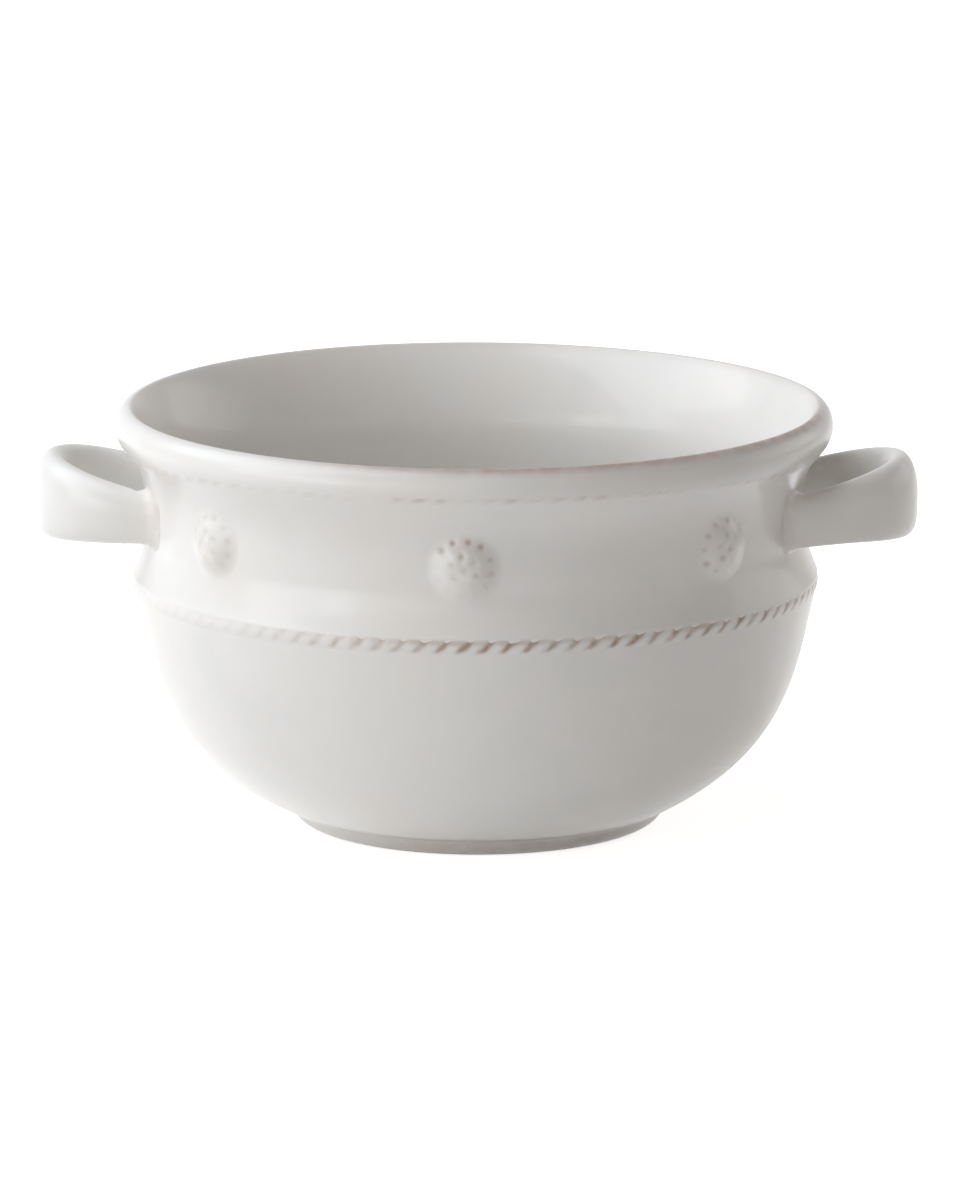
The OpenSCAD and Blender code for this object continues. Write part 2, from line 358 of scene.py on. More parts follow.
# %% Build the specks
specks, take, give = new_group(
    "iron_specks",
    [("Vector", PLACE, None), ("Per metre", NUMBER, 90.0), ("Size", NUMBER, 0.06),
     ("Kept", NUMBER, 0.2)],
    [("Mask", NUMBER)])
cells = put(specks, "ShaderNodeTexVoronoi", Vector=take.outputs["Vector"],
            Scale=take.outputs["Per metre"])
pick = put(specks, "ShaderNodeSeparateColor", Color=cells.outputs["Color"])
near = sums(specks, "LESS_THAN", cells.outputs["Distance"],
            sums(specks, "MULTIPLY", take.outputs["Size"], pick.outputs[1]))
chosen = sums(specks, "LESS_THAN", pick.outputs[0], take.outputs["Kept"])
specks.links.new(sums(specks, "MULTIPLY", near, chosen), give.inputs["Mask"])
print(specks.name, "has", len(specks.nodes), "nodes")

# %% [markdown]
# ## Ivory glaze
# The glaze is white with a little warmth. Where it fills a hollow, such as a pit of a berry or
# the valley between two strands, the brown wash under it shows. Where it runs off an edge, such
# as the lip, it goes thin and pink with clay. Both could be painted on a picture, but the meshes
# know best where their hollows and edges are. They carry them as vertex attributes named hollow
# and ridge, which their makers fill in, and the material only mixes colours by them. The same
# dark wash tone is also used as painted shade, round the roots of the handles and near the foot.
# A sharp coat over a softer base gives the deep shine of a thick glaze.

# %% Make the glaze
IVORY = (0.83, 0.819, 0.787, 1)
THICK_IVORY = (0.795, 0.795, 0.765, 1)
THIN_IVORY = (0.835, 0.805, 0.755, 1)
WASH_AND_SHADE_TONE = (0.32, 0.2, 0.122, 1)
PINK_CLAY = (0.37, 0.27, 0.22, 1)
IRON = (0.2, 0.13, 0.08, 1)
PATCHES_PER_METRE = 38.0
BREAKS_PER_METRE = 320.0
SPECKS_PER_METRE = 85.0
SPECK_SIZE, SPECKS_KEPT, SPECK_SHARE = 0.05, 0.1, 0.55
PEEL_MM = 0.012
ROUGH, HAZE_ROUGH, RIDGE_ROUGH = 0.28, 0.07, 0.25


def attribute(tree, name):
    """A number that the mesh carries at each vertex."""
    return put(tree, "ShaderNodeAttribute", {"attribute_name": name}).outputs["Fac"]


def glaze(name, wash_and_shade_share, ridge_share, ripple_mm=0.12):
    """A glossy pale glaze that breaks by a piece's hollows and ridges, and takes painted shade.
    """
    material = bpy.data.materials.new(name)
    material.use_nodes = True
    tree = material.node_tree
    shader = tree.nodes["Principled BSDF"]
    place = put(tree, "ShaderNodeTexCoord").outputs["Object"]
    toned = put(tree, "ShaderNodeGroup", {"node_tree": drift}, Vector=place, Glaze=IVORY,
                Thick=THICK_IVORY, Thin=THIN_IVORY,
                Patches_per_metre=PATCHES_PER_METRE).outputs["Color"]
    broken = put(tree, "ShaderNodeTexNoise", Vector=place, Scale=BREAKS_PER_METRE, Detail=3.0)
    patchy = stretch_to(tree, broken.outputs["Fac"], 0.3, 0.6, 0.5, 1.0)
    # The hollow attribute mixes in the wash tone: a real brown stain in the cords' strokes and
    # the berries' pits, and painted shade round the handles' roots and near the foot.
    wash = sums(tree, "MULTIPLY", attribute(tree, "hollow"), wash_and_shade_share)
    wash = sums(tree, "MULTIPLY", wash, patchy, True)
    evener = stretch_to(tree, broken.outputs["Fac"], 0.3, 0.6, 0.8, 1.0)
    ridge = sums(tree, "MULTIPLY", attribute(tree, "ridge"), ridge_share)
    ridge = sums(tree, "MULTIPLY", ridge, evener, True)
    spot = put(tree, "ShaderNodeGroup", {"node_tree": specks}, Vector=place,
               Per_metre=SPECKS_PER_METRE, Size=SPECK_SIZE, Kept=SPECKS_KEPT).outputs["Mask"]
    toned = blend_colour(tree, ridge, toned, PINK_CLAY)
    toned = blend_colour(tree, wash, toned, WASH_AND_SHADE_TONE)
    toned = blend_colour(tree, sums(tree, "MULTIPLY", spot, SPECK_SHARE), toned, IRON)
    surface = put(tree, "ShaderNodeGroup", {"node_tree": skin}, Vector=place,
                  Ripple=ripple_mm, Peel=PEEL_MM)
    rough = sums(tree, "MULTIPLY", surface.outputs["Haze"], HAZE_ROUGH)
    rough = sums(tree, "ADD", rough, ROUGH)
    rough = sums(tree, "ADD", rough, sums(tree, "MULTIPLY", ridge, RIDGE_ROUGH))
    bump = put(tree, "ShaderNodeBump", Strength=1.0, Distance=MM,
               Height=surface.outputs["Height"])
    tree.links.new(toned, shader.inputs["Base Color"])
    tree.links.new(rough, shader.inputs["Roughness"])
    tree.links.new(bump.outputs["Normal"], shader.inputs["Normal"])
    shader.inputs["IOR"].default_value = 1.5
    shader.inputs["Specular IOR Level"].default_value = 0.3
    shader.inputs["Coat Weight"].default_value = 0.25
    shader.inputs["Coat Roughness"].default_value = 0.05
    return material


body_glaze = glaze("ivory_glaze", 0.6, 0.95)
cord_glaze = glaze("cord_glaze", 1.0, 0.1, 0.04)
berry_glaze = glaze("berry_glaze", 0.8, 0.05, 0.04)
print("glazes:", [m.name for m in (body_glaze, cord_glaze, berry_glaze)])

# %% [markdown]
# ## Bare clay under the foot
# A potter wipes the foot before the firing so that the bowl does not stick to the shelf. The same
# glaze covers the sides of the ring, and a matt band of sandy clay shows where it rests. A second
# material on those faces would need a cut in the mesh. The height above the table tells the two
# apart as well, and a little noise on it gives the ragged edge of a wiped glaze.

# %% Make the foot's finish
CLAY = (0.62, 0.52, 0.41, 1)
DARK_CLAY = (0.5, 0.4, 0.3, 1)
WIPED_Z = 0.55 * MM
WIPED_FADE = 0.5 * MM
WIPED_RAGGED = 0.4 * MM
RAGGED_PER_METRE = 180.0
SAND_PER_METRE = 1900.0
CLAY_ROUGH = 0.6


def foot_finish():
    """The glaze, wiped back to bare clay where the ring touches the table."""
    material = glaze("foot_glaze", 0.5, 0.3)
    tree = material.node_tree
    shader = tree.nodes["Principled BSDF"]
    place = put(tree, "ShaderNodeTexCoord").outputs["Object"]
    height = put(tree, "ShaderNodeSeparateXYZ", Vector=place).outputs["Z"]
    ragged = put(tree, "ShaderNodeTexNoise", Vector=place, Scale=RAGGED_PER_METRE, Detail=4.0)
    edge = sums(tree, "MULTIPLY", ragged.outputs["Fac"], -WIPED_RAGGED)
    edge = sums(tree, "ADD", height, edge)
    bare = stretch_to(tree, edge, WIPED_Z, WIPED_Z - WIPED_FADE)
    sand = put(tree, "ShaderNodeTexNoise", Vector=place, Scale=SAND_PER_METRE, Detail=3.0)
    sandy = blend_colour(tree, sand.outputs["Fac"], CLAY, DARK_CLAY)
    glazed = shader.inputs["Base Color"].links[0].from_socket
    rough = shader.inputs["Roughness"].links[0].from_socket
    tree.links.new(blend_colour(tree, bare, glazed, sandy), shader.inputs["Base Color"])
    matt = sums(tree, "ADD", rough, sums(tree, "MULTIPLY", bare, CLAY_ROUGH), True)
    tree.links.new(matt, shader.inputs["Roughness"])
    shader.inputs["Coat Weight"].default_value = 0.0
    return material


foot_glaze = foot_finish()
print(foot_glaze.name, "has", len(foot_glaze.node_tree.nodes), "nodes")

# %% [markdown]
# ## From a bmesh to a piece
# Every piece ends the same way: it is warped by hand, turned into a smooth-shaded mesh at the
# origin and tied to the bowl's one body, and its solid is hidden. One function does it for all of
# them, so no piece can miss a step.

# %% Finish a piece
def tell(bm, name, value):
    """Fills a vertex attribute: value is a function of the vertex's place."""
    layer = bm.verts.layers.float.new(name)
    for vert in bm.verts:
        vert[layer] = value(vert.co)


def piece(bm, name, node, material):
    """An object that stands for a node of the frame."""
    for vert in bm.verts:
        vert.co = by_hand(vert.co)
    bmesh.ops.recalc_face_normals(bm, faces=bm.faces)
    for face in bm.faces:
        face.smooth = True
    mesh = bpy.data.meshes.new(name)
    bm.to_mesh(mesh)
    bm.free()
    mesh.materials.append(material)
    made = bpy.data.objects.new(name, mesh)
    bpy.context.scene.collection.objects.link(made)
    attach(made, "root")
    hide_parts(node)
    print(name, "has", len(mesh.polygons), "faces")


# %% [markdown]
# ## On the wheel
# The bowl and its foot are thrown on a wheel, so a spin is their natural tool: the outline is
# drawn once as a string of vertices and turned a full circle. Glaze never leaves a sharp corner,
# so the sharp rings, such as the edge of the ledge, are bevelled afterwards. Only the rings on
# which the foot meets the bowl stay sharp, because a bevel there would leave a groove that the
# real bowl does not have.

# %% Turn an outline
TURN_STEPS = 256
SAME_POINT = 0.001 * MM
SAME_HEIGHT = 0.01 * MM
CORNER = math.radians(28)


def thrown(outline, steps):
    """A bmesh of an outline, as (radius, height), spun round the axis."""
    bm = bmesh.new()
    verts = [bm.verts.new((r, 0, z)) for r, z in outline]
    edges = [bm.edges.new(pair) for pair in zip(verts, verts[1:])]
    bmesh.ops.spin(bm, geom=verts + edges, cent=(0, 0, 0), axis=(0, 0, 1), dvec=(0, 0, 0),
                   angle=2 * math.pi, steps=steps, use_merge=True)
    bmesh.ops.remove_doubles(bm, verts=bm.verts, dist=SAME_POINT)
    bmesh.ops.recalc_face_normals(bm, faces=bm.faces)
    return bm


def round_corners(bm, size):
    """Bevels the sharp rings of a thrown form, and keeps those at the foot joint sharp."""
    sharp = [e for e in bm.edges if e.is_manifold and e.calc_face_angle() > CORNER]
    joint = [e for e in sharp if abs(e.verts[0].co.z - FOOT_Z) < SAME_HEIGHT]
    for edge in joint:
        edge.smooth = False
    rounded = [e for e in sharp if e not in joint]
    bmesh.ops.bevel(bm, geom=rounded, offset=size, offset_type="OFFSET", segments=3,
                    profile=0.5, affect="EDGES", material=-1)
    print("rounded", len(rounded), "edges and kept", len(joint), "sharp")


# %% [markdown]
# ## The shaded side
# The right side of this bowl is the side in shade. On the right the clay shows more on the crest
# of the lip and the strokes of the cords stay open, and painted shade in the dark wash tone
# darkens the glaze round the roots of the handles and near the foot. Each could have a mask of
# its own, but all of them read the same function of the angle round the bowl, so they fade
# together.

# %% Find the shaded side
SHADED_SIDE_TOWARDS = math.radians(25)
SHADED_SIDE_LEAST = 0.06
CREST_IN, CREST_DOWN, CREST_REACH = 0.45 * MM, 0.2 * MM, 1.7 * MM
CREST_BEHIND = 0.2
STRAP_T = 7.8 * MM
LUG_HALF = 18.7 * MM
ROOT_LOW, ROOT_H = LEDGE_Z + 9.4 * MM, 11.2 * MM
# Painted shade round the handles' roots on the bowl: how far it reaches and how dark it gets.
ROOT_SHADE_REACH = 2.2 * MM
ROOT_SHADE_SHARE = 0.5
# Painted shade near the foot: how high it reaches and how dark it gets.
FOOT_SHADE_ABOVE, FOOT_SHADE_BELOW = 6 * MM, 2 * MM
FOOT_SHADE_LEAST, FOOT_SHADE_SIDE = 0.02, 0.4


def shaded_side(angle):
    """How far an angle lies towards the shaded right of the bowl: 1 there, least on the left."""
    facing = math.cos(abs(angle) - SHADED_SIDE_TOWARDS)
    return at_least(SHADED_SIDE_LEAST, smooth(-0.4, 0.55, facing))


def crest(co):
    """Where the clay shows through on the crest of the lip, most in front and on the shaded
    right.
    """
    angle = math.atan2(co.y, co.x)
    away = math.hypot(math.hypot(co.x, co.y) - CREST_R - CREST_IN, co.z - CREST_Z + CREST_DOWN)
    in_front = at_least(CREST_BEHIND, smooth(0.2, -0.35, math.sin(angle)))
    return math.exp(-(away / CREST_REACH) ** 2) * in_front * shaded_side(angle)


def painted_foot_shade(co):
    """Painted shade round the foot and just above it, darkest on the shaded right."""
    down = smooth(FOOT_Z + FOOT_SHADE_ABOVE, FOOT_Z - FOOT_SHADE_BELOW, co.z)
    return (FOOT_SHADE_LEAST + FOOT_SHADE_SIDE * shaded_side(math.atan2(co.y, co.x))) * down


def painted_root_and_foot_shade(co):
    """Painted shade on the bowl: round the handles' roots, and near the foot."""
    beside = max(abs(abs(co.y) - LUG_HALF) - STRAP_T / 2, 0.0)
    above = max(abs(co.z - ROOT_LOW - ROOT_H / 2) - ROOT_H / 2, 0.0)
    root = math.exp(-(math.hypot(beside, above) / ROOT_SHADE_REACH) ** 2)
    by_root = abs(co.x) > 0.8 * NECK_R and math.hypot(co.x, co.y) > NECK_R - MM
    if by_root:
        return ROOT_SHADE_SHARE * root * shaded_side(math.atan2(co.y, co.x))
    return painted_foot_shade(co)


print("thin on the right:", round(shaded_side(0), 2), "and on the left:", shaded_side(math.pi))

# %% [markdown]
# ## The bowl
# The body comes off the wheel in one go: the outline closed on the axis above the foot, with its
# inside, spun into a shell with a real wall. It could be a surface with a Solidify modifier, but
# a potter's wall is thicker in the belly than at the lip, and the outline already says so.

# %% Throw the bowl
CORNER_ROUND = 0.28 * MM

bm = thrown([(0, FOOT_Z)] + outer + inner, TURN_STEPS)
round_corners(bm, CORNER_ROUND)
tell(bm, "ridge", crest)
# The bowl's hollow attribute is painted shade, round the handles' roots and near the foot.
tell(bm, "hollow", painted_root_and_foot_shade)
piece(bm, "bowl", "bowl_body", body_glaze)

# %% [markdown]
# ## The foot ring
# The ring is turned on the wheel too. Its outside swells a little, and only a flat band of it
# touches the table. Its outline is closed on itself, so the spin makes a closed ring.

# %% Turn the foot
FOOT_REST_R = 35.2 * MM
FOOT_REST_W = 4.2 * MM
FOOT_W = 10.4 * MM
FOOT_ROUND = 0.12 * MM

foot_side = run((FOOT_REST_R, 0), (FOOT_R, FOOT_Z), [(0.7, 0.14), (0.68, 0.72)], 12)
ring = foot_side + [(FOOT_R - FOOT_W, FOOT_Z), (FOOT_REST_R - FOOT_REST_W, 0)]
bm = thrown(ring + ring[:1], TURN_STEPS)
round_corners(bm, FOOT_ROUND)
# The foot's hollow attribute is painted shade in the wash tone, darkest on the shaded right.
tell(bm, "hollow", painted_foot_shade)
piece(bm, "foot", "foot_ring", foot_glaze)

# %% [markdown]
# ## Strokes of the cords
# Each moulding is a thin roll of clay pressed on with a row of slanting strokes, so that it reads
# as a twisted cord. A hundred of them go round the bowl. A real twist of strands would stand too
# far off the wall, so the stroke is only a number that rises in its middle, and it is used twice:
# to cut the clay and to lay the wash. A little noise sets each one out of step.

# %% Lay out the strokes
LAYS = 100
STROKE_LEAN = 0.8
STROKE_ASTRAY = 0.12
ASTRAY_GRAIN = 40
UNEVEN_LAYER = 0.7
UNEVEN_GAIN = 0.9


def stroke(angle, across, width):
    """1 in the middle of a slanting stroke of a cord, and 0 on the strand beside it."""
    turn = LAYS * angle / (2 * math.pi) - STROKE_LEAN * (across - 0.5)
    spot = Vector((math.cos(angle), math.sin(angle), 0)) * ASTRAY_GRAIN
    turn += STROKE_ASTRAY * noise.noise(spot)
    off = abs(turn - round(turn))
    return math.exp(-(off / width) ** 2)


def uneven(angle, grain):
    """A slow wander between 0 and 1 round the bowl, quicker with a larger grain."""
    spot = Vector((math.cos(angle), math.sin(angle), UNEVEN_LAYER)) * grain
    return min(max(0.5 + UNEVEN_GAIN * noise.noise(spot), 0.0), 1.0)


print("a stroke comes every", round(2 * math.pi * BELLY_R / LAYS / MM, 1), "mm")

# %% [markdown]
# ## A ring of clay
# Both cords start as the same ring. A flat section of a few vertices is spun round the bowl, and
# each vertex then moves in or out by where it lies across the cord and between two strokes. Both
# edges run out flush with the wall, as they do under a thick glaze, and the back of the ring is
# hidden inside the wall.

# %% Roll out a cord
STEPS_PER_LAY = 12
ACROSS_STEPS = 16
BEHIND_STEPS = 4
CORD_SUNK = 0.03 * MM
CORD_BACK = 0.7 * MM


def cord(name, node, surface, wash):
    """A ring of a flat section (across, in or out), moved by surface and stained by wash."""
    front = [(i / ACROSS_STEPS, MM) for i in range(ACROSS_STEPS + 1)]
    behind = [(1 - i / BEHIND_STEPS, -MM) for i in range(BEHIND_STEPS + 1)]
    section = front + behind + front[:1]
    bm = thrown([(NECK_R + out, across) for across, out in section], LAYS * STEPS_PER_LAY)
    stain = bm.verts.layers.float.new("hollow")
    for vert in bm.verts:
        angle = math.atan2(vert.co.y, vert.co.x)
        across, outside = vert.co.z, math.hypot(vert.co.x, vert.co.y) > NECK_R
        out, z = surface(angle, across)
        r = wall_r(z) - CORD_SUNK + out if outside else wall_r(z) - CORD_BACK
        vert[stain] = wash(angle, across) if outside else 0.0
        vert.co = Vector((r * math.cos(angle), r * math.sin(angle), z))
    piece(bm, name, node, cord_glaze)


# %% [markdown]
# ## The shoulder cord
# This one sits in the groove under the ledge and is the sharpest ornament of the bowl. Its
# strokes are deepest in front and on the shaded right, and the brown wash gathers in their upper
# halves and in a broken line along the top.

# %% Press the shoulder cord
CORD_LOW_Z = GROOVE_Z - 0.8 * MM
CORD_HIGH_Z = LEDGE_Z + 0.6 * MM
CORD_SWELL = 0.26 * MM
CORD_CUT = 0.14 * MM
CUT_W, CUT_GRAIN = 0.24, 9.0
CUT_BURIED = 0.15
WASH_W_LOW, WASH_W_HIGH = 0.2, 0.28
WASH_IN_STROKE = 0.95
WASH_LINE, LINE_GRAIN = 0.5, 5.0


def shoulder_surface(angle, across):
    """How far a point of the shoulder cord stands off the wall, and its height."""
    z = CORD_LOW_Z + (CORD_HIGH_Z - CORD_LOW_Z) * across
    hump = math.sin(math.pi * across) ** 2
    depth = smooth(0.05, 0.35, across) * smooth(0.95, 0.75, across)
    cut = CORD_CUT * stroke(angle, across, CUT_W) * depth
    cut *= at_least(0.5, uneven(angle, CUT_GRAIN)) * at_least(CUT_BURIED, shaded_side(angle))
    return CORD_SWELL * hump - cut, z


def shoulder_wash(angle, across):
    """How much wash lies in the shoulder cord: most at the top of each stroke."""
    width = WASH_W_LOW + (WASH_W_HIGH - WASH_W_LOW) * smooth(0.4, 0.8, across)
    band = smooth(0.06, 0.4, across) * smooth(0.94, 0.78, across)
    in_stroke = WASH_IN_STROKE * stroke(angle, across, width) * band
    line = WASH_LINE * smooth(0.5, 0.72, across) * smooth(0.98, 0.8, across)
    return max(in_stroke, line * uneven(angle, LINE_GRAIN)) * shaded_side(angle)


cord("shoulder_cord", "shoulder_rope", shoulder_surface, shoulder_wash)

# %% [markdown]
# ## The lip cord
# The cord under the lip is almost buried in glaze: a row of faint dents with a dot of wash at the
# top of some. Seen from the front it hangs lower towards the handles, so its height droops with
# the angle.

# %% Press the lip cord
LIP_CORD_W = 3.0 * MM
LIP_CORD_DROP = 2.3 * MM
LIP_CORD_DROOP = 2.7 * MM
LIP_CORD_SWELL = 0.16 * MM
LIP_CORD_CUT = 0.16 * MM
LIP_CUT_W, LIP_CUT_GRAIN = 0.3, 7.0
LIP_CUT_BURIED = 0.4
LIP_WASH_W, LIP_WASH_GRAIN = 0.28, 6.0
LIP_WASH_SHARE = 0.4


def lip_surface(angle, across):
    """How far a point of the lip cord stands off the wall, and its height."""
    middle = LIP_Z - LIP_CORD_DROP - LIP_CORD_DROOP * math.cos(angle) ** 4
    z = middle + LIP_CORD_W * (across - 0.5)
    hump = math.sin(math.pi * across) ** 2
    cut = LIP_CORD_CUT * stroke(angle, across, LIP_CUT_W) * hump
    cut *= at_least(LIP_CUT_BURIED, uneven(angle, LIP_CUT_GRAIN))
    cut *= at_least(LIP_CUT_BURIED, shaded_side(angle))
    return LIP_CORD_SWELL * hump - cut, z


def lip_wash(angle, across):
    """How much wash shows in the lip cord: dots at the top ends of its strokes."""
    band = smooth(0.25, 0.6, across) * smooth(0.95, 0.7, across)
    shown = LIP_WASH_SHARE * uneven(angle, LIP_WASH_GRAIN)
    shown *= at_least(LIP_CUT_BURIED, shaded_side(angle))
    return stroke(angle, across, LIP_WASH_W) * band * shown


cord("lip_cord", "lip_rope", lip_surface, lip_wash)

# %% [markdown]
# ## The berries' mounds
# A berry is a pellet of clay pressed on with a stamp: a low mound that runs out into the wall. It
# is described as a height over a round patch of wall, highest in the middle and easing to
# nothing at its rim, with a few soft lumps left by the fingers.

# %% Shape a mound
BERRY_R = 8.6 * MM
BERRY_RISE = 2.25 * MM
FLANK_SHARE = 1 / 1.3
CROWN, CROWN_FALL = 1.04, 0.25
LUMP = 0.3 * MM
LUMPS_PER_METRE = 420.0


def mound(across, rise, seed):
    """Height off the wall of a point of a berry without its pits.

    Over its flank the height eases from 0 to 1 with no kink at either end, and over its crown
    it goes on rising a little towards the middle.
    """
    out = min(math.hypot(across, rise) / BERRY_R, 1.0)
    t = min((1 - out) / FLANK_SHARE, 1.0)
    swell = BERRY_RISE * t ** 3 * (6 * t * t - 15 * t + 10) * (CROWN - CROWN_FALL * out)
    lumps = LUMP * noise.noise(Vector((across, rise, seed)) * LUMPS_PER_METRE) * t * t
    return swell + lumps


print("a berry stands", round(mound(0, 0, 0) / MM, 2), "mm off the wall")

# %% [markdown]
# ## The berries' pits
# The stamp leaves a middle pit and two rings round it. Perfect rings would look drilled, so each
# pit is moved, widened and filled a little by noise. Left alone, noise_vector starts from the
# clock, so a seed is set first, and every run presses the same pits. Then the glaze closes most
# of the pits on one side of the berry and leaves them open on the other.

# %% Place the pits
PIT_PITCH = 2.85 * MM
PIT_R = 0.76 * MM
PIT_ASTRAY = 0.35 * MM
PIT_SEED = 7
PIT_DEPTH = 0.3 * MM
PIT_TURN = 0.12
PIT_R_VARIES = 0.3
PIT_OPEN, PIT_OPEN_VARIES = 0.6, 0.4
OPEN_LEAST = 0.1
CLOUD_SHARE = 0.3
CLOUDS_PER_METRE = 500.0

noise.seed_set(PIT_SEED)


def pit_places(seed):
    """The middle pit and two rings round it, each a little out of place, as (across, up)."""
    places = [(0.0, 0.0)]
    for ring_number in (1, 2):
        count = 6 * ring_number
        for i in range(count):
            angle = 2 * math.pi * (i + 0.5) / count + PIT_TURN * seed
            astray = noise.noise_vector(Vector((i, ring_number, seed))) * PIT_ASTRAY
            places.append((ring_number * PIT_PITCH * math.cos(angle) + astray.x,
                           ring_number * PIT_PITCH * math.sin(angle) + astray.y))
    return places


def in_pit(across, rise, pits, seed):
    """How deep a point of a berry lies in a pit, from 0 to 1."""
    deep = 0.0
    for number, (u, w) in enumerate(pits):
        varied = noise.noise(Vector((number * 1.7, seed, 0.5)))
        spread = PIT_R * (1 + PIT_R_VARIES * varied)
        near = math.exp(-(math.hypot(across - u, rise - w) / spread) ** 2)
        filled = noise.noise(Vector((number * 2.3, seed, 4.5)))
        deep = max(deep, near * (PIT_OPEN + PIT_OPEN_VARIES * filled))
    return deep * smooth(1.0, 0.8, min(math.hypot(across, rise) / BERRY_R, 1.0))


def left_bare(across, rise, towards):
    """How open the pits are at a point of a berry: most on the side where the glaze ran thin."""
    thin = (across * math.cos(towards) + rise * math.sin(towards)) / BERRY_R
    cloud = noise.noise(Vector((across, rise, towards)) * CLOUDS_PER_METRE)
    return at_least(OPEN_LEAST, smooth(-0.35, 0.4, thin + CLOUD_SHARE * cloud))


print("pits on a berry:", len(pit_places(0)))

# %% [markdown]
# ## The berries
# A ball is the right start, because it is closed and its points are even all over. Its front half
# is laid over the wall as the mound, and its back half is hidden inside the wall. The wash fills
# the open pits and leaves a faint blush between them. The table gives each berry its angle round
# the bowl, the way its open pits face in degrees, and how much wash it shows: the front left one
# is nearly white.

# %% Press the berries
BERRY_Z = LEDGE_Z + 14.8 * MM
BERRY_TURN = math.radians(49)
BERRY_SUNK = 0.015 * MM
BERRY_BACK = 1.2 * MM
BERRY_DETAIL = 6
BLUSH = 0.14
PIT_LEFT, WASH_LEFT = 0.12, 0.1
POLE = 1e-6
FRONT, BEHIND = -math.pi / 2, math.pi / 2
BERRIES = {"front_left": (FRONT - BERRY_TURN, 60, 0.25),
           "front": (FRONT, 62, 1.0),
           "front_right": (FRONT + BERRY_TURN, 150, 1.0),
           "back_left": (BEHIND + BERRY_TURN, 120, 0.6),
           "back": (BEHIND, 20, 0.8),
           "back_right": (BEHIND - BERRY_TURN, 200, 0.9)}


def berry(place_name, angle, towards, stained, seed):
    """A pressed berry on the neck at that angle round the bowl."""
    bm = bmesh.new()
    bmesh.ops.create_icosphere(bm, subdivisions=BERRY_DETAIL, radius=1.0)
    stain = bm.verts.layers.float.new("hollow")
    pits = pit_places(seed)
    for vert in bm.verts:
        unit = vert.co.normalized()
        sideways = math.hypot(unit.y, unit.z)
        out = math.asin(min(sideways, 1.0)) / (math.pi / 2) * BERRY_R
        across = unit.y / sideways * out if sideways > POLE else 0.0
        rise = unit.z / sideways * out if sideways > POLE else 0.0
        deep = in_pit(across, rise, pits, seed)
        bare = stained * left_bare(across, rise, towards)
        height = mound(across, rise, seed) - PIT_DEPTH * deep * at_least(PIT_LEFT, bare)
        blush = BLUSH * smooth(0.95, 0.5, out / BERRY_R)
        vert[stain] = max(blush, deep) * at_least(WASH_LEFT, bare)
        if unit.x < 0:
            height, vert[stain] = -BERRY_BACK * (1 - (out / BERRY_R) ** 2), 0.0
        z = BERRY_Z + rise
        wall_x = math.sqrt(wall_r(z) ** 2 - across ** 2)
        seated = Vector((wall_x + height - BERRY_SUNK, across, z))
        vert.co = Matrix.Rotation(angle, 3, "Z") @ seated
    piece(bm, place_name + "_berry", "berry_" + place_name, berry_glaze)


for seed, (place_name, (angle, towards, stained)) in enumerate(BERRIES.items()):
    berry(place_name, angle, math.radians(towards), stained, seed)

# %% [markdown]
# ## The handles' section
# Each handle is a pulled strap: oval in section, squarer below than above, low where it leaves
# the neck and half as tall again at its outer end. No two pulled handles are the same, so each
# has its own sag of the outer end, arch of the underside and shortfall in reach, all under a
# millimetre.

# %% Draw the section
STRAP_SQUARE_BELOW, STRAP_SQUARE_ABOVE = 3.6, 2.1
LUG_RUN_X = NECK_R + 1.2 * MM
LUG_REACH = lug_high[0] - STRAP_T / 2 - LUG_RUN_X
END_LOW, END_HIGH = lug_low[2], lug_high[2]
HANDLES = {"right_handle": ("right_lug", -0.4 * MM, 0.9 * MM, 0.0),
           "left_handle": ("left_lug", 0.4 * MM, 0.45 * MM, 0.8 * MM)}


def section(c, s):
    """A circle's point pushed towards a rounded rectangle's: fuller below than above."""
    power = 2 / (STRAP_SQUARE_BELOW if s < 0 else STRAP_SQUARE_ABOVE)
    return math.copysign(abs(c) ** power, c), math.copysign(abs(s) ** power, s)


def strap_z(v, x, sag, arch, swell=0.0):
    """Height of a section's point at x along the handle."""
    way = min(max((x - NECK_R) / (LUG_REACH + LUG_RUN_X - NECK_R), 0.0), 1.0)
    low = ROOT_LOW + (END_LOW - sag - ROOT_LOW) * way + arch * math.sin(math.pi * way) - swell
    high = ROOT_LOW + ROOT_H + (END_HIGH - ROOT_LOW - ROOT_H) * way + swell
    return low + (high - low) * (1 + v) / 2


print("a handle reaches", round((lug_high[0] - NECK_R) / MM, 1), "mm out from the neck")

# %% [markdown]
# ## The handles' way
# Seen from above the strap goes round half an ellipse. At each end it meets the wall, and there
# the potter smooths a fillet of slip round the root with a finger, so the section spreads in a
# quarter circle over the last few millimetres and ends inside the wall.

# %% Lay out the rings of a handle
SLIP_R = 2.8 * MM
SLIP_STEPS = 8
SLIP_UP_SHARE = 0.5
SLIP_SUNK = 0.04 * MM
BURIED = 1.2 * MM
BURIED_SHARE = 0.8
STRAP_TURNS = 56


def turn_place(angle, sag, arch, short):
    """Where the section goes, at an angle of the half ellipse."""
    reach = LUG_REACH - short
    x, y = LUG_RUN_X + reach * math.cos(angle), LUG_HALF * math.sin(angle)
    out = Vector((math.cos(angle) / reach, math.sin(angle) / LUG_HALF, 0)).normalized()

    def place(c, s):
        thick, tall = section(c, s)
        step = out * (STRAP_T / 2 * thick)
        return Vector((x + step.x, y + step.y, strap_z(tall, x, sag, arch)))
    return place


